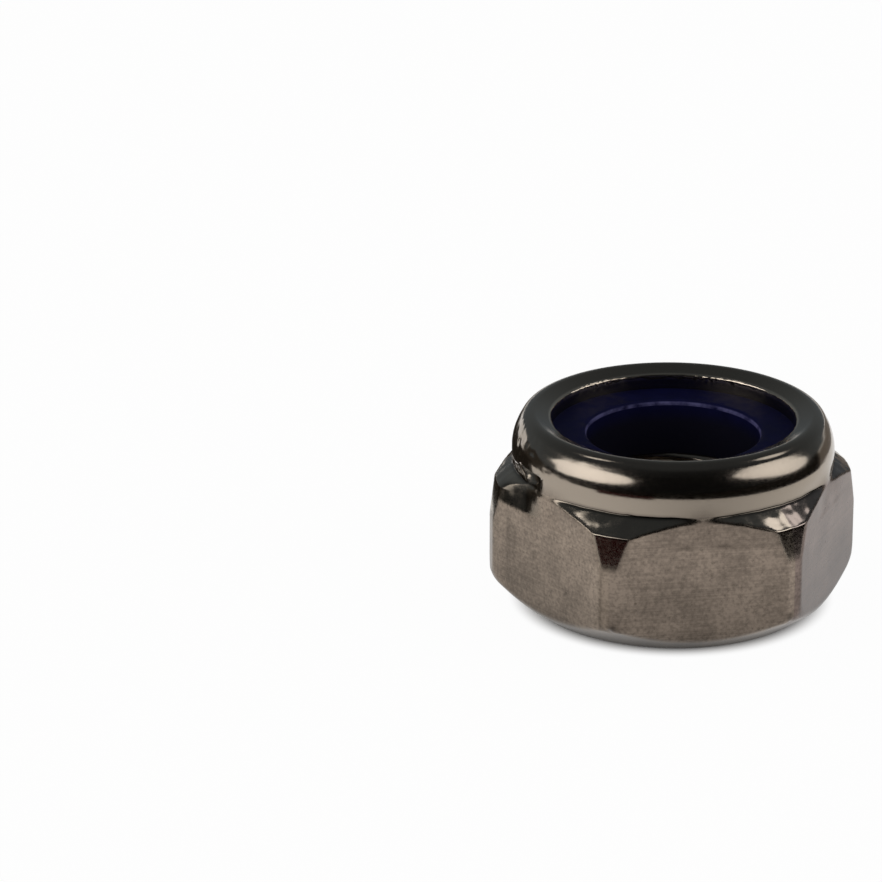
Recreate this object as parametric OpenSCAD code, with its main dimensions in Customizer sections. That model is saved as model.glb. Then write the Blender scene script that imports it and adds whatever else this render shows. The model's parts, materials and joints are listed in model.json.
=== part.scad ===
// Hexagon lock nut, M6, with a nylon ring held under a rolled collar.
// Millimetres, bearing face on z = 0, thread axis on +Z.

/* [Hexagon] */
// Width across the flats
across_flats = 9.9; // [9:0.05:12]
// Diameter of the blunt corners
corner_d = 11.15; // [10.9:0.05:11.4]
// Diameter of the flat bearing face
bearing_d = 8.6; // [7.5:0.05:9.6]
// Height of the corner above the bearing face, where the lower chamfer ends
chamfer_h = 0.94; // [0.4:0.02:1.4]
// Height of the flats at their middle
hex_h = 4.23; // [3.8:0.01:4.6]
// Drop of the shoulder from the middle of a flat to the corner
shoulder_drop = 0.35; // [0.15:0.01:0.6]
// Diameter of the corner where the shoulder ends
shoulder_d = 10.82; // [10.5:0.02:11.1]
// Height of the leaning facet below each shoulder corner
facet_h = 1.05; // [0.8:0.05:2]

/* [Collar] */
// Height of the whole nut
total_h = 5.91; // [5.7:0.01:6.6]
// Diameter of the collar at its bulge, before the turn there is rounded
collar_d = 9.75; // [9.4:0.01:9.9]
// Diameter of the collar where it leaves the shoulder
collar_root_d = 9.6; // [9.2:0.01:9.7]
// Rise of the shoulder from the middle of a flat to the foot of the collar
root_rise = 0.12; // [0.05:0.01:0.3]
// Rise of the wall from there to its bulge
bulge_rise = 0.47; // [0.4:0.01:0.9]
// Lean of the wall towards the axis, from its bulge up to its brow half way to the rim
brow_lean = 0.11; // [0.02:0.01:0.2]
// Lean of the wall towards the axis, from its bulge up to the rim
rim_lean = 0.42; // [0.05:0.01:0.45]
// Radius of the rolled rim in section
rim_r = 0.4; // [0.35:0.01:0.9]
// Width of the crest of the rim, up to the crease where it turns down
crest_w = 0.04; // [0.02:0.01:0.15]
// Diameter of the opening inside the lip
lip_d = 7.36; // [6.8:0.02:7.6]
// Depth of the lip below the crest of the rim
lip_drop = 0.21; // [0.1:0.01:0.4]
// Thickness of the lip above the ring
lip_t = 0.43; // [0.3:0.01:0.6]

/* [Thread] */
// Bore at the thread crests
thread_minor_d = 4.92; // [4.6:0.01:5.2]
// Diameter of the countersink in the bearing face
countersink_d = 6.4; // [6:0.05:7]
// Full angle of the countersink
countersink_angle = 120; // [90:5:120]

/* [Locking ring] */
// Height of the ring
ring_h = 1.7; // [1.2:0.02:1.9]
// Hole through the ring
ring_bore_d = 5.23; // [4.9:0.01:5.6]
// Diameter of the pocket in the collar
pocket_d = 8; // [7.8:0.02:8.3]
// Gap between the ring and the pocket wall
ring_gap = 0.02; // [0.01:0.01:0.1]

/* [Rounding] */
// Lower edge round the bearing face
bearing_edge_r = 0.25; // [0.05:0.01:0.5]
// Turn from the chamfer into the corner
corner_edge_r = 0.4; // [0.05:0.05:0.8]
// Edge of the shoulder
shoulder_edge_r = 0.2; // [0.05:0.01:0.3]
// Hollow between shoulder and collar
root_fillet_r = 0.2; // [0.1:0.01:0.35]
// Turn of the wall at its bulge
barrel_r = 1.2; // [0.5:0.1:4]
// Turn of the wall at its brow
brow_r = 1.5; // [0.5:0.1:4]
// Crease of the rim
crease_r = 0.15; // [0.05:0.01:0.5]
// Edge of the lip
lip_edge_r = 0.06; // [0.04:0.01:0.15]
// Upper outer edge of the ring, pressed round by the lip
ring_edge_r = 0.2; // [0.1:0.01:0.25]
// Lower outer edge of the ring, in the hollow of the pocket
ring_foot_r = 0.1; // [0.05:0.01:0.2]
// Edge of the hole in the ring
ring_hole_r = 0.12; // [0.05:0.01:0.2]

/* [Hidden] */
$fn = 96;
// How far the centre of a corner's arc is set back from the corner, 1 being tangent
set_back = 1.04;
// How far the scrap of a rounded corner reaches past it, as a share of its own size
scrap_margin = 0.3;
shoulder_z = hex_h - shoulder_drop;
facet_z = shoulder_z - facet_h;
root_z = hex_h + root_rise;
bulge_z = root_z + bulge_rise;
brow_z = (bulge_z + total_h) / 2;
// Outer corner of the wall's top, and how far from it each millimetre of the rim's radius reaches
rim_x = collar_d / 2 - rim_lean;
roll_reach = tan(45 - atan((rim_lean - brow_lean) / (total_h - brow_z)) / 2);
// Most of the wall's top, from there to the lip, that the roll of the rim can take
rim_share = 0.75;
rim_roll = min(rim_r, (rim_x - lip_d / 2) * rim_share / roll_reach);
crease_x = rim_x - rim_roll * roll_reach - crest_w;
lip_z = total_h - lip_drop;
ring_top_z = lip_z - lip_t;
pocket_z = ring_top_z - ring_h;
countersink_h = (countersink_d - thread_minor_d) / 2 / tan(countersink_angle / 2);

// Unit vector from a to b
function way(a, b) = (b - a) / norm(b - a);
// Which way the outline turns at b: positive to the left
function turn(a, b, c) = cross(way(a, b), way(b, c));
// Length of the tangents of an arc of radius r set into the corner at b
function reach(a, b, c, r) = r * tan(acos(way(a, b) * way(b, c)) / 2);
// Points on both sides of the corner at b, where its arc begins and ends
function feet(a, b, c, r) = [for (side = [a, c]) b + way(b, side) * reach(a, b, c, r) * set_back];
// Share of their radius that two arcs keep, whose tangents lie on one edge of this length
function share(edge, first, second) = first + second > edge ? edge / (first + second) : 1;

// Round that the arc in the corner at b belongs to
module corner_round(a, b, c, r) {
    tangent = reach(a, b, c, r);
    middle = b + way([0, 0], way(b, a) + way(b, c)) * norm([r, tangent]) * set_back;
    translate(middle)
        circle(r = norm(b + way(b, a) * tangent - middle));
}

// What rounding takes off an outer corner at b
module corner_scrap(a, b, c, r) {
    foot = feet(a, b, c, r);
    higher = (b - (foot[0] + foot[1]) / 2) * scrap_margin;
    wider = way(foot[1], foot[0]) * norm(higher);
    difference() {
        polygon([foot[0] + wider, b + higher, foot[1] - wider]);
        corner_round(a, b, c, r);
    }
}

// What stays open of an inner corner at b, as far as its arc goes
module corner_hollow(a, b, c, r) {
    foot = feet(a, b, c, r);
    higher = (b - (foot[0] + foot[1]) / 2) * scrap_margin;
    wider = (foot[0] - foot[1]) * scrap_margin;
    intersection() {
        polygon([foot[0] + wider - higher, b + higher, foot[1] - wider - higher]);
        corner_round(a, b, c, r);
    }
}

// Outline with arcs in its corners: each corner is [x, y, radius], anticlockwise
module soft_outline(corners) {
    last = len(corners) - 1;
    at = [for (corner = corners) [corner[0], corner[1]]];
    before = [for (i = [0:last]) at[i == 0 ? last : i - 1]];
    after = [for (i = [0:last]) at[i == last ? 0 : i + 1]];
    tangent = [for (i = [0:last]) reach(before[i], at[i], after[i], corners[i][2]) * set_back];
    // An arc gets smaller where the edges beside it are too short for it
    radius = [
        for (i = [0:last])
            corners[i][2] * min(
                share(norm(at[i] - before[i]), tangent[i], tangent[i == 0 ? last : i - 1]),
                share(norm(after[i] - at[i]), tangent[i], tangent[i == last ? 0 : i + 1])
            )
    ];
    // Outer corners turn to the left, inner ones to the right
    outer = [for (i = [0:last]) radius[i] > 0 && turn(before[i], at[i], after[i]) > 0];
    inner = [for (i = [0:last]) radius[i] > 0 && turn(before[i], at[i], after[i]) < 0];
    difference() {
        polygon([
            for (i = [0:last])
                each inner[i] ? feet(before[i], at[i], after[i], radius[i]) : [at[i]]
        ]);
        for (i = [0:last]) {
            if (outer[i]) corner_scrap(before[i], at[i], after[i], radius[i]);
            if (inner[i]) corner_hollow(before[i], at[i], after[i], radius[i]);
        }
    }
}

// Half section of the nut, from the countersink out, up over the rim and down the pocket and bore
module nut_section() {
    soft_outline([
        [countersink_d / 2, 0, 0],
        [bearing_d / 2, 0, bearing_edge_r],
        [corner_d / 2, chamfer_h, corner_edge_r],
        [corner_d / 2, facet_z, 0],
        [shoulder_d / 2, shoulder_z, shoulder_edge_r],
        [collar_root_d / 2, root_z, root_fillet_r],
        [collar_d / 2, bulge_z, barrel_r],
        [collar_d / 2 - brow_lean, brow_z, brow_r],
        [rim_x, total_h, rim_roll],
        [crease_x, total_h, crease_r],
        [lip_d / 2, lip_z, lip_edge_r],
        [lip_d / 2, ring_top_z, 0],
        [pocket_d / 2, ring_top_z, ring_edge_r],
        [pocket_d / 2, pocket_z, ring_foot_r],
        [thread_minor_d / 2, pocket_z, 0],
        [thread_minor_d / 2, countersink_h, 0]
    ]);
}

// Hexagon bar up to the root of the collar, round above it
module hex_blank() {
    cylinder(d = across_flats / cos(30), h = root_z, $fn = 6);
    translate([0, 0, root_z])
        cylinder(d = collar_d + across_flats, h = total_h - root_z);
}

// Steel body in one cold-formed piece: hexagon, threaded bore, ring pocket and rolled collar
module nut_body() {
    color("#8f877c")
        intersection() {
            hex_blank();
            rotate_extrude()
                nut_section();
        }
}

// Nylon ring, seated on the pocket floor and held down by the lip
module locking_ring() {
    ring_r = pocket_d / 2 - ring_gap;
    color("#1c1a52")
        rotate_extrude()
            soft_outline([
                [ring_bore_d / 2, pocket_z, 0],
                [ring_r, pocket_z, ring_foot_r],
                [ring_r, ring_top_z, ring_edge_r],
                [ring_bore_d / 2, ring_top_z, ring_hole_r]
            ]);
}

nut_body();
locking_ring();
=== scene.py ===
import json
import math

import bmesh
import bpy
import numpy as np
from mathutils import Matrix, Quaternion, Vector, noise

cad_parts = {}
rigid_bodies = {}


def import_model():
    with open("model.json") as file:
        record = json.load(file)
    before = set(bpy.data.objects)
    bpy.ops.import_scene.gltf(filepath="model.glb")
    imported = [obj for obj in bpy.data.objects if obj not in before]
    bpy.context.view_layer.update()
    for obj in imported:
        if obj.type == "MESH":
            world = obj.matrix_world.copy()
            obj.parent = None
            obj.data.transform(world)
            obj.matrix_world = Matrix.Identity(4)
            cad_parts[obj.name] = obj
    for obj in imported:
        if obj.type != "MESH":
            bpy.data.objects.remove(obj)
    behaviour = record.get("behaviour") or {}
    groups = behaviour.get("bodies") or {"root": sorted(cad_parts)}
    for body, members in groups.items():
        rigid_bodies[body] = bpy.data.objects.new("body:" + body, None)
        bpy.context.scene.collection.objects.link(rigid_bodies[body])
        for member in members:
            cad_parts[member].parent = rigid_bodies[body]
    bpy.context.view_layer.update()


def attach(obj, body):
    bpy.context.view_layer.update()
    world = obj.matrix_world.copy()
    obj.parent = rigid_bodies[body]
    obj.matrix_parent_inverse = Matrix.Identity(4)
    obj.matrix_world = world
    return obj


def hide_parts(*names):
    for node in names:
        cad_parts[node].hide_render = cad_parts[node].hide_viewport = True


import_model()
mm = 0.001  # pieces are drawn in millimetres and brought to metres at the end
fullTurn = 2 * math.pi


# tools for drawing a section and turning it round the thread axis

def deselectAll():
    if bpy.context.object and bpy.context.object.mode != "OBJECT":
        bpy.ops.object.mode_set(mode="OBJECT")
    bpy.ops.object.select_all(action="DESELECT")


def pick(piece, test):
    # selects the points of the mesh in edit mode that pass the test
    mesh = bmesh.from_edit_mesh(piece.data)
    for point in mesh.verts:
        point.select = test(point.co)
    mesh.select_flush_mode()
    bmesh.update_edit_mesh(piece.data)


def drawSection(name, corners):
    # one point of a plane, extruded from corner to corner and closed
    deselectAll()
    bpy.ops.mesh.primitive_plane_add(size=1, location=(0, 0, 0))
    piece = bpy.context.object
    piece.name = piece.data.name = name
    bpy.ops.object.mode_set(mode="EDIT")
    bpy.ops.mesh.select_mode(type="VERT")
    bpy.ops.mesh.select_all(action="SELECT")
    bpy.ops.mesh.merge(type="CENTER")
    bpy.ops.transform.translate(value=(corners[0][0], 0, corners[0][1]))
    for before, after in zip(corners, corners[1:]):
        step = (after[0] - before[0], 0, after[1] - before[1])
        bpy.ops.mesh.extrude_region_move(TRANSFORM_OT_translate={"value": step})
    ends = [Vector((c[0], 0, c[1])) for c in (corners[0], corners[-1])]
    pick(piece, lambda co: min((co - end).length for end in ends) < 0.001)
    bpy.ops.mesh.edge_face_add()
    return piece


def roundCorners(piece, corners, arcStep):
    # each corner with a radius gets an arc, of as many segments as its turn needs
    count = len(corners)
    for i, (x, z, radius) in enumerate(corners):
        if not radius:
            continue
        corner = Vector((x, 0, z))
        sides = [Vector((corners[j][0], 0, corners[j][1])) - corner for j in (i - 1, (i + 1) % count)]
        turn = math.pi - sides[0].angle(sides[1])
        pick(piece, lambda co: (co - corner).length < 0.001)
        bpy.ops.mesh.bevel(offset=radius * math.tan(turn / 2), offset_type="OFFSET", affect="VERTICES",
                           segments=max(3, round(radius * turn / arcStep)), profile=0.5, clamp_overlap=True)


def divideSection(piece, rowHeight):
    # long edges of the section are cut into rows, as fine as that stretch needs
    bpy.ops.mesh.select_mode(type="EDGE")
    mesh = bmesh.from_edit_mesh(piece.data)
    cuts = {}
    for edge in mesh.edges:
        middle = (edge.verts[0].co + edge.verts[1].co) / 2
        number = math.ceil(edge.calc_length() / rowHeight(middle) - 0.3) - 1
        if number > 0:
            cuts.setdefault(number, []).append(middle.copy())
    for number, middles in cuts.items():
        mesh = bmesh.from_edit_mesh(piece.data)
        for edge in mesh.edges:
            centre = (edge.verts[0].co + edge.verts[1].co) / 2
            edge.select_set(any((centre - middle).length < 1e-5 for middle in middles))
        bmesh.update_edit_mesh(piece.data)
        bpy.ops.mesh.subdivide(number_cuts=number, smoothness=0)
    bpy.ops.mesh.select_mode(type="VERT")


def spinSection(piece, steps):
    bpy.ops.mesh.select_all(action="SELECT")
    bpy.ops.mesh.spin(steps=steps, dupli=False, angle=fullTurn, center=(0, 0, 0), axis=(0, 0, 1))
    bpy.ops.mesh.select_all(action="SELECT")
    bpy.ops.mesh.remove_doubles(threshold=0.0004)
    bpy.ops.mesh.normals_make_consistent(inside=False)
    bpy.ops.object.mode_set(mode="OBJECT")


def readPoints(piece):
    co = np.empty(len(piece.data.vertices) * 3)
    piece.data.vertices.foreach_get("co", co)
    co = co.reshape(-1, 3)
    return np.hypot(co[:, 0], co[:, 1]), np.arctan2(co[:, 1], co[:, 0]), co[:, 2].copy()


def movePoints(piece, r, angle, z):
    co = np.column_stack((r * np.cos(angle), r * np.sin(angle), z))
    piece.data.vertices.foreach_set("co", co.ravel())
    piece.data.update()


def lumps(r, angle, z, size, seed):
    # repeatable unevenness with lumps of this size in millimetres, from -1 to 1
    points = np.column_stack((r * np.cos(angle), r * np.sin(angle), z)) / size + seed
    return np.array([noise.noise(Vector(point)) for point in points])


def softMin(a, b, width):
    # the lower of two surfaces, with the edge between them rounded
    share = np.clip(width - np.abs(a - b), 0, None) / width
    return np.minimum(a, b) - share * share * width / 4


def between(value, low, high):
    # 0 below low, 1 above high, smooth between
    t = np.clip((value - low) / (high - low), 0, 1)
    return t * t * (3 - 2 * t)


def finishPiece(piece, node, material, sharp):
    deselectAll()
    piece.select_set(True)
    bpy.context.view_layer.objects.active = piece
    bpy.ops.object.shade_smooth_by_angle(angle=math.radians(sharp))
    piece.scale = (mm, mm, mm)
    bpy.ops.object.transform_apply(location=True, rotation=True, scale=True)
    piece.data.materials.clear()
    piece.data.materials.append(material)
    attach(piece, "root")
    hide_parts(node)


# materials

def linear(hexColour):
    parts = [int(hexColour[i:i + 2], 16) / 255 for i in (1, 3, 5)]
    return tuple(c / 12.92 if c <= 0.04045 else ((c + 0.055) / 1.055) ** 2.4 for c in parts) + (1,)


def perMetre(size):
    # texture scale for a pattern of this size in millimetres
    return 1 / (size * mm)


def addNode(tree, kind, settings=None, sockets=None, links=None):
    node = tree.nodes.new(kind)
    for name, value in (settings or {}).items():
        setattr(node, name, value)
    for name, value in (sockets or {}).items():
        node.inputs[name].default_value = value
    for name, source in (links or {}).items():
        tree.links.new(source, node.inputs[name])
    return node


def newMaterial(name):
    material = bpy.data.materials.new(name)
    material.use_nodes = True
    material.node_tree.nodes.clear()
    return material, material.node_tree


noiseRange = (0.3, 0.7)  # where most of a noise texture's values lie

# sizes in millimetres
steelLook = {
    "satin": "#887b6f", "satinDull": "#655b52", "burnished": "#9d9285", "pit": "#544a42",
    "satinRoughness": (0.27, 0.35), "burnishedRoughness": (0.11, 0.17),
    "cloud": 0.9, "speckle": 0.1, "mottleRange": (0.14, 0.36),
    "dragAcross": 0.05, "dragAlong": 4.0, "dragShare": 0.4, "dragDepth": 0.0009, "collarDrag": 0.3,
    "grain": 0.07, "grainDepth": 0.0006, "pitSpacing": 0.9, "pitSize": 0.07, "pitDepth": 0.004,
}


def coldFormedStainless(look):
    # stainless steel, cold formed from wire: warm grey, burnished and dark as a mirror where the collar
    # was rolled and the shoulders pressed, satin and finely dragged on the flats, with a few small pits
    material, tree = newMaterial("coldFormedStainless")
    place = addNode(tree, "ShaderNodeTexCoord").outputs["Object"]
    satin = addNode(tree, "ShaderNodeAttribute", {"attribute_name": "satin"}).outputs["Fac"]
    tint = addNode(tree, "ShaderNodeAttribute", {"attribute_name": "tint"}).outputs["Color"]
    cloud = addNode(tree, "ShaderNodeTexNoise", sockets={"Scale": perMetre(look["cloud"]), "Detail": 3},
                    links={"Vector": place}).outputs["Fac"]
    speckle = addNode(tree, "ShaderNodeTexNoise", sockets={"Scale": perMetre(look["speckle"]), "Detail": 3},
                      links={"Vector": place}).outputs["Fac"]
    along, across = perMetre(look["dragAlong"]), perMetre(look["dragAcross"])
    dragged = addNode(tree, "ShaderNodeMapping", sockets={"Scale": (along, along, across)},
                      links={"Vector": place}).outputs["Vector"]
    drag = addNode(tree, "ShaderNodeTexNoise", sockets={"Scale": 1, "Detail": 3},
                   links={"Vector": dragged}).outputs["Fac"]
    grain = addNode(tree, "ShaderNodeTexNoise", sockets={"Scale": perMetre(look["grain"]), "Detail": 3},
                    links={"Vector": place}).outputs["Fac"]
    cell = addNode(tree, "ShaderNodeTexVoronoi", sockets={"Scale": perMetre(look["pitSpacing"])},
                   links={"Vector": place}).outputs["Distance"]
    pitEdge = look["pitSize"] / look["pitSpacing"]
    pitted = addNode(tree, "ShaderNodeMapRange", {"interpolation_type": "SMOOTHSTEP"},
                     {"From Min": 0.1 * pitEdge, "From Max": pitEdge, "To Min": 1, "To Max": 0},
                     {"Value": cell}).outputs["Result"]
    pitted = addNode(tree, "ShaderNodeMath", {"operation": "MULTIPLY"},
                     links={0: pitted, 1: satin}).outputs[0]
    streak = addNode(tree, "ShaderNodeMix", {"data_type": "FLOAT"}, {0: look["dragShare"]},
                     {2: cloud, 3: drag}).outputs[0]
    mottle = addNode(tree, "ShaderNodeMath", {"operation": "MULTIPLY"},
                     links={0: streak, 1: speckle}).outputs[0]
    low, high = look["mottleRange"]
    patch = addNode(tree, "ShaderNodeMapRange", sockets={"From Min": low, "From Max": high},
                    links={"Value": mottle}).outputs["Result"]
    dull = addNode(tree, "ShaderNodeMix", {"data_type": "RGBA"},
                   {6: linear(look["satinDull"]), 7: linear(look["satin"])}, {0: patch}).outputs[2]
    metal = addNode(tree, "ShaderNodeMix", {"data_type": "RGBA"}, {6: linear(look["burnished"])},
                    {0: satin, 7: dull}).outputs[2]
    metal = addNode(tree, "ShaderNodeMix", {"data_type": "RGBA"}, {7: linear(look["pit"])},
                    {0: pitted, 6: metal}).outputs[2]
    # the tint attribute brings in painted light and shade, along with the scratches and spots on the metal
    metal = addNode(tree, "ShaderNodeMix", {"data_type": "RGBA", "blend_type": "MULTIPLY"}, {0: 1.0},
                    {6: metal, 7: tint}).outputs[2]
    rough, smooth = (
        addNode(tree, "ShaderNodeMapRange", sockets={"From Min": noiseRange[0], "From Max": noiseRange[1],
                                                     "To Min": low, "To Max": high},
                links={"Value": speckle}).outputs["Result"]
        for low, high in (look["satinRoughness"], look["burnishedRoughness"]))
    roughness = addNode(tree, "ShaderNodeMix", {"data_type": "FLOAT"},
                        links={0: satin, 2: smooth, 3: rough}).outputs[0]
    bump = addNode(tree, "ShaderNodeBump", sockets={"Distance": look["grainDepth"] * mm},
                   links={"Height": grain})
    dragStrength = addNode(tree, "ShaderNodeMapRange", sockets={"To Min": look["collarDrag"], "To Max": 1},
                           links={"Value": satin}).outputs["Result"]
    bump = addNode(tree, "ShaderNodeBump", sockets={"Distance": look["dragDepth"] * mm},
                   links={"Height": drag, "Strength": dragStrength, "Normal": bump.outputs["Normal"]})
    bump = addNode(tree, "ShaderNodeBump", {"invert": True}, {"Distance": look["pitDepth"] * mm},
                   {"Height": pitted, "Normal": bump.outputs["Normal"]})
    shader = addNode(tree, "ShaderNodeBsdfPrincipled", sockets={"Metallic": 1.0},
                     links={"Base Color": metal, "Roughness": roughness, "Normal": bump.outputs["Normal"]})
    addNode(tree, "ShaderNodeOutputMaterial", links={"Surface": shader.outputs["BSDF"]})
    return material


nylonLook = {
    "nylon": "#0d0f3d", "deep": "#090a24", "scuffed": "#54527a", "holePaintedShade": "#13121f",
    "roughness": (0.5, 0.62), "shine": 0.06, "cloud": 0.5, "grain": 0.06, "grainDepth": 0.001,
    "scuffFrom": 2.63, "scuffTo": 2.66, "scuffAbove": 5.12, "scuffSize": 0.3, "scuffRange": (0.25, 0.65),
    "holeFrom": 4.5, "holeTo": 5.2, "ior": 1.53,
}


def mouldedNylon(look):
    # polyamide ring, moulded and pressed in: deep blue, satin, clouded a little, with painted shade down its
    # hole, and a thin pale scuffed edge round the hole where it was trimmed
    material, tree = newMaterial("mouldedNylon")
    place = addNode(tree, "ShaderNodeTexCoord").outputs["Object"]
    cloud = addNode(tree, "ShaderNodeTexNoise", sockets={"Scale": perMetre(look["cloud"]), "Detail": 3},
                    links={"Vector": place}).outputs["Fac"]
    grain = addNode(tree, "ShaderNodeTexNoise", sockets={"Scale": perMetre(look["grain"]), "Detail": 2},
                    links={"Vector": place}).outputs["Fac"]
    level = addNode(tree, "ShaderNodeVectorMath", {"operation": "MULTIPLY"}, {1: (1, 1, 0)}, {0: place})
    radius = addNode(tree, "ShaderNodeVectorMath", {"operation": "LENGTH"},
                     links={0: level.outputs["Vector"]}).outputs["Value"]
    edge = addNode(tree, "ShaderNodeMapRange", {"interpolation_type": "SMOOTHSTEP"},
                   {"From Min": look["scuffFrom"] * mm, "From Max": look["scuffTo"] * mm,
                    "To Min": 1, "To Max": 0}, {"Value": radius}).outputs["Result"]
    height = addNode(tree, "ShaderNodeSeparateXYZ", links={"Vector": place}).outputs["Z"]
    upper = addNode(tree, "ShaderNodeMath", {"operation": "GREATER_THAN"}, {1: look["scuffAbove"] * mm},
                    {0: height}).outputs[0]
    nick = addNode(tree, "ShaderNodeTexNoise", sockets={"Scale": perMetre(look["scuffSize"]), "Detail": 3},
                   links={"Vector": place}).outputs["Fac"]
    low, high = look["scuffRange"]
    nicked = addNode(tree, "ShaderNodeMapRange", sockets={"From Min": low, "From Max": high},
                     links={"Value": nick}).outputs["Result"]
    scuff = addNode(tree, "ShaderNodeMath", {"operation": "MULTIPLY"},
                    links={0: edge, 1: nicked}).outputs[0]
    scuff = addNode(tree, "ShaderNodeMath", {"operation": "MULTIPLY"},
                    links={0: scuff, 1: upper}).outputs[0]
    blue = addNode(tree, "ShaderNodeMix", {"data_type": "RGBA"},
                   {6: linear(look["deep"]), 7: linear(look["nylon"])}, {0: cloud}).outputs[2]
    # painted shade, darker down the hole
    depth = addNode(tree, "ShaderNodeMapRange", {"interpolation_type": "SMOOTHSTEP"},
                    {"From Min": look["holeFrom"] * mm, "From Max": look["holeTo"] * mm},
                    {"Value": height}).outputs["Result"]
    blue = addNode(tree, "ShaderNodeMix", {"data_type": "RGBA"}, {6: linear(look["holePaintedShade"])},
                   {0: depth, 7: blue}).outputs[2]
    blue = addNode(tree, "ShaderNodeMix", {"data_type": "RGBA"}, {7: linear(look["scuffed"])},
                   {0: scuff, 6: blue}).outputs[2]
    low, high = look["roughness"]
    roughness = addNode(tree, "ShaderNodeMapRange", sockets={
        "From Min": noiseRange[0], "From Max": noiseRange[1], "To Min": low, "To Max": high},
        links={"Value": cloud}).outputs["Result"]
    bump = addNode(tree, "ShaderNodeBump", sockets={"Distance": look["grainDepth"] * mm},
                   links={"Height": grain})
    shader = addNode(tree, "ShaderNodeBsdfPrincipled",
                     sockets={"IOR": look["ior"], "Specular IOR Level": look["shine"]},
                     links={"Base Color": blue, "Roughness": roughness, "Normal": bump.outputs["Normal"]})
    addNode(tree, "ShaderNodeOutputMaterial", links={"Surface": shader.outputs["BSDF"]})
    return material


# steel body: the section runs from the countersink out, up over the rim, down the pocket and bore
nut = {
    "section": [  # x, z, radius of the corner, in millimetres
        (3.2, 0, 0), (4.3, 0, 0.25), (5.575, 0.94, 0.4), (5.575, 2.83, 0.8), (5.4, 3.88, 0.08),
        (4.8, 4.35, 0.08), (4.875, 4.82, 1.2), (4.765, 5.365, 1.5), (4.455, 5.91, 0.4), (4.182, 5.91, 0.15),
        (3.68, 5.725, 0.06), (3.68, 5.27, 0), (4, 5.27, 0.2), (4, 3.57, 0.1), (2.46, 3.57, 0),
        (2.46, 0.427, 0)],
    "steps": 384, "outerRow": 0.07, "threadRow": 0.05, "hiddenRow": 0.4, "pocketRow": 2, "arcStep": 0.055,
    "acrossFlats": 9.9, "edgeWidth": (0.2, 0.04), "rootZ": 4.35, "cornerCrowding": 0.35,
    # by corner, in degrees: how much further in it lies and how much higher its shoulder stands
    "corners": {0: (0.0, 0.06), 60: (-0.02, 0.04), 120: (-0.03, 0.0), 180: (-0.04, 0.05),
                240: (-0.01, -0.03), 300: (-0.01, -0.05)},
    "satinBelow": 2.8, "mergeWidth": 7, "mergeFrom": 3.5, "mergeTo": 4.78, "bulge": 4.855,
    # partly the metal's own tone and partly painted light and shade: each flat is made lighter or darker as
    # light falls on it, and so are the blunt corners, the facets and the lower chamfer
    "flatToneAndPaintedLight": {-150: (1.1, 1.1, 1.08), -90: (1, 1, 1), -30: (0.74, 0.71, 0.765), 30: (1.1, 1.1, 1.1),
                 90: (1.15, 1.15, 1.15), 150: (1.05, 1.05, 1.05)},
    "bluntWidth": 0.06, "cornerPaintedLight": {-120: 0.98, -60: 1.35},
    "facetPaintedShade": {-120: 0.62, -60: 0.8}, "facetFade": (2.7, 2.95, 3.78, 3.88),
    "chamferPaintedShade": 0.58, "chamferFade": (0.2, 1.1), "lipPaintedHighlight": 2.2, "lipAbove": 5.6, "lipWithin": 3.76,
    # turn and spread in degrees, bands in millimetres
    "crestPaintedHighlight": 2.8, "crestBand": (4.08, 4.12, 4.2, 4.24), "crestAbove": 5.85, "crestTurn": (-101, 40, 75),
    "creasePaintedShade": 0.25, "creaseWidth": 0.05, "creaseFade": (4, 12),
    "frontBandPaintedShade": 0.66, "frontBandTurn": (-88, 28), "frontBandFade": (4.9, 5.1),
    "bottomPaintedShade": (0.8, 1.2), "lowFrom": 0.8, "lowTo": 3.6,
    "markFade": 0.12,
    # scratches and rubbed spots: turn in degrees, from z, to z, width, tint
    "marks": [(-169.3, 1.3, 3.3, 0.12, 0.74), (-166.4, 0.9, 2.9, 0.1, 0.86), (-156, 2.25, 2.35, 0.1, 0.6),
              (-139, 1.55, 1.65, 0.1, 0.6), (-118.6, 0.95, 1.05, 0.16, 0.5), (-122.6, 0.9, 2.7, 0.05, 0.72),
              (-125.5, 0.9, 2.8, 0.2, 1.12), (-61.4, 1.0, 1.15, 0.14, 0.5)],
    # one flat is pressed in at its upper edge: turn and width in degrees, from z, lean in degrees
    "pressed": (-166, 10, 3.5, 20), "pressedTint": 0.2, "pressedFade": (4.0, 4.25),
    "lipLumps": (0.12, 0.02), "shoulderLumps": (0.34, 0.02), "collarDents": (0.28, 0.038),  # size, depth
    "dentedAt": -168, "dentedWidth": 22,
    # turn in degrees, height, size and depth
    "nicks": [(-120, 0.86, 0.09, 0.04), (-60, 0.8, 0.09, 0.04), (-113, 3.3, 0.08, 0.03)],
    "pitch": 1.0, "threadMinor": 2.46, "threadMajor": 3.0, "threadStart": 0.3,
    "threadRounding": (0.06, 0.5),
    "countersinkR": 3.2, "countersinkSlope": 0.577, "pocketZ": 3.57, "pocketWall": 4.05, "lipFoot": 5.28,
}


def nutRow(co):
    if abs(co.z - nut["pocketZ"]) < 0.01:
        return nut["pocketRow"]  # undivided, so that the thread can run out into the pocket floor
    bore = co.x < nut["countersinkR"] and co.z < nut["pocketZ"] - 0.01
    inside = co.x < nut["pocketWall"] and 0.01 < co.z < nut["lipFoot"] or co.z < 0.001
    return nut["threadRow"] if bore and co.z > 0.001 else nut["hiddenRow"] if inside else nut["outerRow"]


def angleFrom(angle, degrees):
    # signed turn from this direction, in radians
    return (angle - math.radians(degrees) + math.pi) % fullTurn - math.pi


def scaleTint(tint, level, share):
    # multiplies the tint by this level where the share is 1
    return tint * (1 + (level - 1) * share)[:, None]


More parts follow.
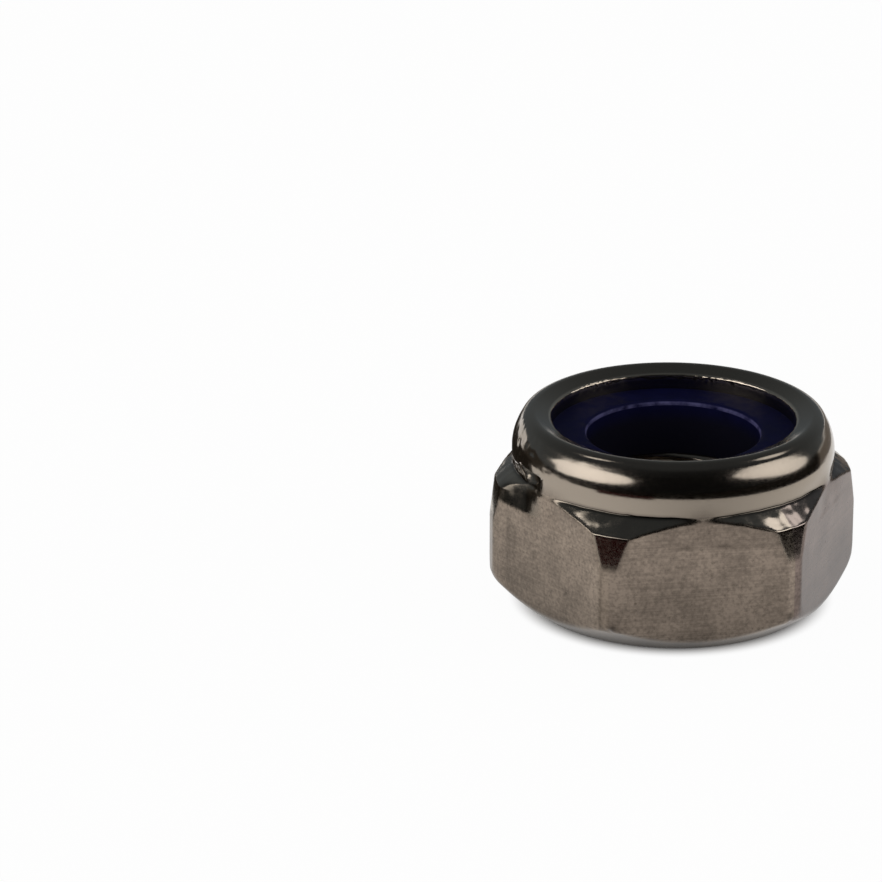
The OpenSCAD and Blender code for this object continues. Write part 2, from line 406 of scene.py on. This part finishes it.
def paintedLightAndMarks(r, beyond, angle, z):
    # the metal's tint, mostly painted light and shade: by flat, on the blunt corners, the facets and the
    # chamfer, darker towards the bottom, a painted highlight on the lip and the crest, painted shade in the
    # crease and on the collar's lower band in front, with the scratches and spots on the metal
    tint = np.ones((len(z), 3))
    # each flat's tone, partly painted light and shade
    for at, colour in nut["flatToneAndPaintedLight"].items():
        near = np.abs(angleFrom(angle, at)) <= math.pi / 6
        tint[near] = colour
    blunt = (1 - between(beyond, -nut["bluntWidth"], 0)) * (z < nut["rootZ"])
    foot, full, top, end = nut["facetFade"]
    # painted highlight and shade on the blunt corners
    for at, level in nut["cornerPaintedLight"].items():
        near = blunt * (np.abs(angleFrom(angle, at)) < math.pi / 6)
        tint = scaleTint(tint, level, near)
        # painted shade on the facets above the blunt corners
        tint = scaleTint(tint, nut["facetPaintedShade"][at], near * between(z, foot, full) * (1 - between(z, top, end)))
    # painted shade on the lower chamfer
    tint = scaleTint(tint, nut["chamferPaintedShade"], 1 - between(z, *nut["chamferFade"]))
    # painted shade: the metal is darker towards the bottom and lighter towards the top
    low, high = nut["bottomPaintedShade"]
    tint *= (low + (high - low) * between(z, nut["lowFrom"], nut["lowTo"]))[:, None]
    fade = nut["markFade"]
    for turn, bottom, top, width, level in nut["marks"]:
        mark = np.exp(-(angleFrom(angle, turn) * r / width) ** 2) * (r > 4.5)
        mark *= between(z, bottom - fade, bottom) * (1 - between(z, top, top + fade))
        tint = scaleTint(tint, level, mark)
    tint = np.where((z < nut["rootZ"])[:, None], tint, 1)
    # a painted highlight along the lip's inner edge
    tint[(z > nut["lipAbove"]) & (r < nut["lipWithin"])] *= nut["lipPaintedHighlight"]
    # a painted highlight along the inner edge of the crest, in front
    inner, innerFull, outerFull, outer = nut["crestBand"]
    turn, full, end = nut["crestTurn"]
    crest = between(r, inner, innerFull) * (1 - between(r, outerFull, outer)) * (z > nut["crestAbove"])
    crest *= 1 - between(np.abs(angleFrom(angle, turn)), math.radians(full), math.radians(end))
    tint = scaleTint(tint, nut["crestPaintedHighlight"], crest)
    # painted shade in the crease under the collar, but not over the middles of the flats
    toMiddle = math.pi / 6 - np.abs(angleFrom(angle * 6, 0)) / 6
    crease = np.exp(-((z - nut["rootZ"]) / nut["creaseWidth"]) ** 2)
    crease *= between(toMiddle, *np.radians(nut["creaseFade"]))
    tint = scaleTint(tint, nut["creasePaintedShade"], crease)
    # painted shade: the collar's lower band is darker in front
    turn, spread = nut["frontBandTurn"]
    front = np.exp(-(angleFrom(angle, turn) / math.radians(spread)) ** 2) * (z > nut["rootZ"])
    return scaleTint(tint, nut["frontBandPaintedShade"], front * (1 - between(z, *nut["frontBandFade"])))


def pressHexagon(r, angle, z):
    # columns crowd towards the corners, then six flats are pressed in
    corner = np.round(angle / (math.pi / 3)) * (math.pi / 3)
    share = (angle - corner) / (math.pi / 6)
    crowding = nut["cornerCrowding"]
    offset = (crowding * share + (1 - crowding) * share ** 3) * (math.pi / 6)
    angle = corner + offset
    outside = (r > 4.2) & (z < nut["rootZ"] + 0.45)
    flat = nut["acrossFlats"] / 2 / np.cos(math.pi / 6 - np.abs(offset))
    # no corner is quite like the next
    for at, (further, higher) in nut["corners"].items():
        near = np.where(outside, np.exp(-angleFrom(angle, at) ** 2 / 0.06), 0)
        r = r + further * near * between(z, 0, 0.9) * (1 - between(z, 3.8, 4.3))
        z = z + higher * near * between(z, 2.4, 3.8) * (1 - between(z, 4.1, 4.35))
    satin = np.where(outside, between(r - flat, -0.05, -0.01), 0)
    satin = np.maximum(satin, (r > 3.3) * (1 - between(z, nut["satinBelow"], nut["satinBelow"] + 0.3)))
    tint = paintedLightAndMarks(r, r - flat, angle, z)
    lower, upper = nut["edgeWidth"]
    r = np.where(outside, softMin(r, flat, lower + (upper - lower) * between(z, 0.7, 1.5)), r)
    turn, width, start, lean = nut["pressed"]
    near = np.exp(-(angleFrom(angle, turn) / math.radians(width)) ** 4)
    cut = flat - np.clip(z - start, 0, None) * math.tan(math.radians(lean))
    bare = near * between(z, start, start + 0.1)
    tint = scaleTint(tint, nut["pressedTint"], bare * (1 - between(z, *nut["pressedFade"])) * (r > 4.7))
    satin = np.where(outside, satin * (1 - bare), satin)
    r = np.where(outside, r + near * np.minimum(cut - r, 0), r)
    # the middle of each flat runs on into the collar
    low, high = nut["mergeFrom"], nut["mergeTo"]
    wall = nut["acrossFlats"] / 2 + (nut["bulge"] - nut["acrossFlats"] / 2) * (z - low) / (high - low)
    middle = np.exp(-((math.pi / 6 - np.abs(offset)) / math.radians(nut["mergeWidth"])) ** 2)
    filled = r + middle * (wall - r)
    r = np.where((z > low) & (z < high) & (r > 4.7), filled, r)
    merging = middle * (1 - between(z, 4.1, high))
    satin = np.where((z > low) & (z < high) & (r > 4.7), np.maximum(satin, merging), satin)
    return r, angle, z, satin, tint


def wear(r, angle, z):
    # lumps on the lip and the shoulders, dents on one side of the collar, and a few nicks
    lip = (z > 5.5) & (r < 3.78)
    size, depth = nut["lipLumps"]
    r[lip] += depth * lumps(r[lip], angle[lip], z[lip], size, 3.1)
    shoulder = (z > 3.7) & (z < 4.5) & (r > 4.7)
    size, depth = nut["shoulderLumps"]
    z[shoulder] += depth * lumps(r[shoulder], angle[shoulder], z[shoulder], size, 7.7)
    collar = (z > 4.4) & (z < 5.8) & (r > 4.4) & (np.abs(angleFrom(angle, nut["dentedAt"])) < 1)
    size, depth = nut["collarDents"]
    near = np.exp(-(angleFrom(angle[collar], nut["dentedAt"]) / math.radians(nut["dentedWidth"])) ** 2)
    r[collar] -= depth * near * np.clip(lumps(r[collar], angle[collar], z[collar], size, 1.3), 0, None)
    for turn, height, size, depth in nut["nicks"]:
        away = (angleFrom(angle, turn) * r) ** 2 + (z - height) ** 2
        r -= depth * np.exp(-away / size ** 2) * (r > 4.7)
    return r, z


def cutThread(r, angle, z):
    # right-hand thread with 60 degree flanks, rounded at crest and root, open into the countersink
    bore = (r < nut["countersinkR"] + 0.001) & (z < nut["pocketZ"] + 0.001) & (z > 0.001)
    turn = (z / nut["pitch"] - angle / fullTurn + nut["threadStart"]) % 1
    fromCrest = np.abs(turn - 0.5)
    depth = nut["threadMajor"] - nut["threadMinor"]
    thread = nut["threadMinor"] + depth * between(fromCrest, *nut["threadRounding"])
    cone = nut["countersinkR"] - z / nut["countersinkSlope"]
    return np.where(bore, np.maximum(thread, cone), r)


def makeNutBody():
    corners = nut["section"]
    piece = drawSection("steelNut", corners)
    roundCorners(piece, corners, nut["arcStep"])
    divideSection(piece, nutRow)
    print("nut section rows:", len(piece.data.vertices), flush=True)
    spinSection(piece, nut["steps"])
    r, angle, z = readPoints(piece)
    r, angle, z, satin, tint = pressHexagon(r, angle, z)
    r, z = wear(r, angle, z)
    r = cutThread(r, angle, z)
    movePoints(piece, r, angle, z)
    piece.data.attributes.new("satin", "FLOAT", "POINT").data.foreach_set("value", satin)
    colours = np.column_stack((tint, np.ones(len(tint))))
    piece.data.attributes.new("tint", "FLOAT_COLOR", "POINT").data.foreach_set("color", colours.ravel())
    piece.data.calc_loop_triangles()
    print("nut body:", len(piece.data.vertices), "points,", len(piece.data.loop_triangles), "triangles")
    return piece


# nylon ring
ring = {
    "section": [(2.615, 3.57, 0), (3.98, 3.57, 0.1), (3.98, 5.27, 0.2), (2.615, 5.27, 0.12)],
    "steps": 320, "row": 0.06, "hiddenRow": 0.3, "arcStep": 0.03, "seenAbove": 5.2, "seenWithin": 2.7,
}


def ringRow(co):
    return ring["row"] if co.z > ring["seenAbove"] or co.x < ring["seenWithin"] else ring["hiddenRow"]


def makeRing():
    piece = drawSection("nylonRing", ring["section"])
    roundCorners(piece, ring["section"], ring["arcStep"])
    divideSection(piece, ringRow)
    spinSection(piece, ring["steps"])
    print("ring:", len(piece.data.vertices), "points,", len(piece.data.polygons), "faces")
    return piece


nutBody = makeNutBody()
finishPiece(nutBody, "nut_body", coldFormedStainless(steelLook), 45)
lockingRing = makeRing()
finishPiece(lockingRing, "locking_ring", mouldedNylon(nylonLook), 50)


# floor, light and camera; metres unless said otherwise
studio = {
    "floor": "#f4f3f1", "floorSize": 6.0, "whiteShare": 0.97, "underNut": (4.1, 5.0),  # in millimetres
    "openRoom": 0.45,
    # the mirrored room is darkest low in front and lightest low behind
    "darkRoom": (0.006, 0.14), "darkRoomSpan": (-0.35, 0.55), "darkRoomColour": "#e3f3ff",
    "backdrop": (0.3, 0.5, 0.014),  # distance behind the nut, width, height
    # name: turn, height and roll in degrees as the nut sees it, distance, width, height, brightness
    "boxes": {"leftBox": (196, 19, 10, 0.32, 0.41, 0.13, 1.25),
              "rightBox": (-21, 19, -22, 0.32, 0.4, 0.12, 0.98),
              "leftTop": (156, 60, 0, 0.35, 0.055, 0.085, 0.85),
              "rightTop": (11, 50, 0, 0.35, 0.11, 0.1, 0.7)},
    "boxSpread": 140,
    # low cards out of the picture: from and to in degrees, centre in x, distance from it, height, colour
    "cards": {"frontCard": (-205, 8, -0.016, 0.038, 0.006, "#1a1613"),
              "redCard": (-150, -112, 0, 0.028, 0.0036, "#471a1b"),
              "sideCard": (136, 165, 0, 0.03, 0.006, "#4e4943"),
              "nearCard": (108, 162, 0, 0.0125, 0.004, "#3d3832"),
              "greyCard": (8, 108, 0, 0.025, 0.005, "#948d86")},
    "cardSteps": 48,
    "cameraPlace": (-26.71, -138.14, 58.52), "cameraTurn": (69.13, 0, -8.1),  # millimetres, degrees
    "focalPixels": 5000, "imageSize": 882, "sensorWidth": 36,
}


def paleFloor():
    # matt white paper: shows as white, and keeps the shadow of the nut
    material, tree = newMaterial("matWhitePaper")
    path = addNode(tree, "ShaderNodeLightPath").outputs
    seen = addNode(tree, "ShaderNodeMath", {"operation": "MAXIMUM"},
                   links={0: path["Is Camera Ray"], 1: path["Is Glossy Ray"]}).outputs[0]
    seen = addNode(tree, "ShaderNodeMath", {"operation": "MAXIMUM"},
                   links={0: seen, 1: path["Is Transmission Ray"]}).outputs[0]
    place = addNode(tree, "ShaderNodeTexCoord").outputs["Object"]
    away = addNode(tree, "ShaderNodeVectorMath", {"operation": "LENGTH"}, links={0: place}).outputs["Value"]
    inner, outer = studio["underNut"]
    share = addNode(tree, "ShaderNodeMapRange", {"interpolation_type": "SMOOTHSTEP"},
                    {"From Min": inner * mm, "From Max": outer * mm, "To Max": studio["whiteShare"]},
                    {"Value": away}).outputs["Result"]
    share = addNode(tree, "ShaderNodeMath", {"operation": "MULTIPLY"}, links={0: share, 1: seen}).outputs[0]
    paper = addNode(tree, "ShaderNodeBsdfDiffuse", sockets={"Color": linear(studio["floor"])})
    white = addNode(tree, "ShaderNodeEmission", sockets={"Color": (1, 1, 1, 1), "Strength": 1.0})
    mixed = addNode(tree, "ShaderNodeMixShader", links={0: share, 1: paper.outputs[0], 2: white.outputs[0]})
    addNode(tree, "ShaderNodeOutputMaterial", links={"Surface": mixed.outputs[0]})
    return material


def makeRoom():
    # the world lights the nylon and the floor; metal mirrors a darker room, as a studio is
    world = bpy.data.worlds.new("studioRoom")
    bpy.context.scene.world = world
    world.use_nodes = True
    tree = world.node_tree
    tree.nodes.clear()
    glossy = addNode(tree, "ShaderNodeLightPath").outputs["Is Glossy Ray"]
    direction = addNode(tree, "ShaderNodeTexCoord").outputs["Generated"]
    way = addNode(tree, "ShaderNodeSeparateXYZ", links={"Vector": direction}).outputs
    lowness = addNode(tree, "ShaderNodeMath", {"operation": "SUBTRACT"}, {0: 1}, {1: way["Z"]}).outputs[0]
    lowBehind = addNode(tree, "ShaderNodeMath", {"operation": "MULTIPLY"},
                        links={0: way["Y"], 1: lowness}).outputs[0]
    low, high = studio["darkRoom"]
    front, behind = studio["darkRoomSpan"]
    level = addNode(tree, "ShaderNodeMapRange", sockets={"From Min": front, "From Max": behind,
                                                         "To Min": low, "To Max": high},
                    links={"Value": lowBehind}).outputs["Result"]
    dark = addNode(tree, "ShaderNodeBackground", sockets={"Color": linear(studio["darkRoomColour"])},
                   links={"Strength": level})
    bright = addNode(tree, "ShaderNodeBackground",
                     sockets={"Color": (1, 1, 1, 1), "Strength": studio["openRoom"]})
    room = addNode(tree, "ShaderNodeMixShader", links={0: glossy, 1: bright.outputs[0], 2: dark.outputs[0]})
    addNode(tree, "ShaderNodeOutputWorld", links={"Surface": room.outputs[0]})


def makeCards():
    # each card is an arc that stands on the floor, seen by the metal alone
    for name, (start, end, middle, distance, height, colour) in studio["cards"].items():
        deselectAll()
        bpy.ops.mesh.primitive_plane_add(size=1)
        card = bpy.context.object
        card.name = name
        bpy.ops.object.mode_set(mode="EDIT")
        bpy.ops.mesh.select_all(action="SELECT")
        bpy.ops.mesh.merge(type="CENTER")
        start, end = math.radians(start), math.radians(end)
        foot = (middle + distance * math.cos(start), distance * math.sin(start), 0)
        bpy.ops.transform.translate(value=foot)
        bpy.ops.mesh.extrude_region_move(TRANSFORM_OT_translate={"value": (0, 0, height)})
        bpy.ops.mesh.select_all(action="SELECT")
        bpy.ops.mesh.spin(steps=studio["cardSteps"], angle=start - end, center=(middle, 0, 0), axis=(0, 0, 1))
        bpy.ops.object.mode_set(mode="OBJECT")
        material, tree = newMaterial(name)
        felt = addNode(tree, "ShaderNodeBsdfDiffuse", sockets={"Color": linear(colour)})
        addNode(tree, "ShaderNodeOutputMaterial", links={"Surface": felt.outputs[0]})
        card.data.materials.append(material)
        card.visible_camera = card.visible_diffuse = card.visible_shadow = False


def makeStudio():
    deselectAll()
    paper = paleFloor()
    bpy.ops.mesh.primitive_plane_add(size=studio["floorSize"], location=(0, 0, -0.02 * mm))
    floor = bpy.context.object
    floor.name = "floor"
    distance, width, height = studio["backdrop"]
    bpy.ops.mesh.primitive_plane_add(size=1, location=(0, distance, height / 2),
                                     rotation=(math.pi / 2, 0, 0))
    backdrop = bpy.context.object
    backdrop.name = "backdrop"
    backdrop.scale = (width, height, 1)
    for sheet in (floor, backdrop):
        sheet.data.materials.append(paper)
    makeRoom()
    makeCards()
    for name, (turn, height, roll, distance, width, tall, level) in studio["boxes"].items():
        turn, height = math.radians(turn), math.radians(height)
        outward = math.cos(height)
        place = Vector((outward * math.cos(turn), outward * math.sin(turn), math.sin(height)))
        bpy.ops.object.light_add(type="AREA", location=place * distance)
        lamp = bpy.context.object
        lamp.name = name
        rolled = Quaternion((0, 0, 1), math.radians(roll))
        lamp.rotation_euler = ((-place).to_track_quat("-Z", "Y") @ rolled).to_euler()
        lamp.data.shape, lamp.data.size, lamp.data.size_y = "ELLIPSE", width, tall
        lamp.data.spread = math.radians(studio["boxSpread"])
        lamp.data.energy = level * math.pi * width * tall * math.pi / 4
    print("studio ready")


def makeCamera():
    deselectAll()
    bpy.ops.object.camera_add(location=Vector(studio["cameraPlace"]) * mm,
                              rotation=[math.radians(turn) for turn in studio["cameraTurn"]])
    camera = bpy.context.object
    camera.data.sensor_width = studio["sensorWidth"]
    camera.data.lens = studio["focalPixels"] * studio["sensorWidth"] / studio["imageSize"]
    camera.data.clip_start = 0.001
    bpy.context.scene.camera = camera
    bpy.context.scene.view_settings.view_transform = "Standard"
    print("camera ready")


makeStudio()
makeCamera()
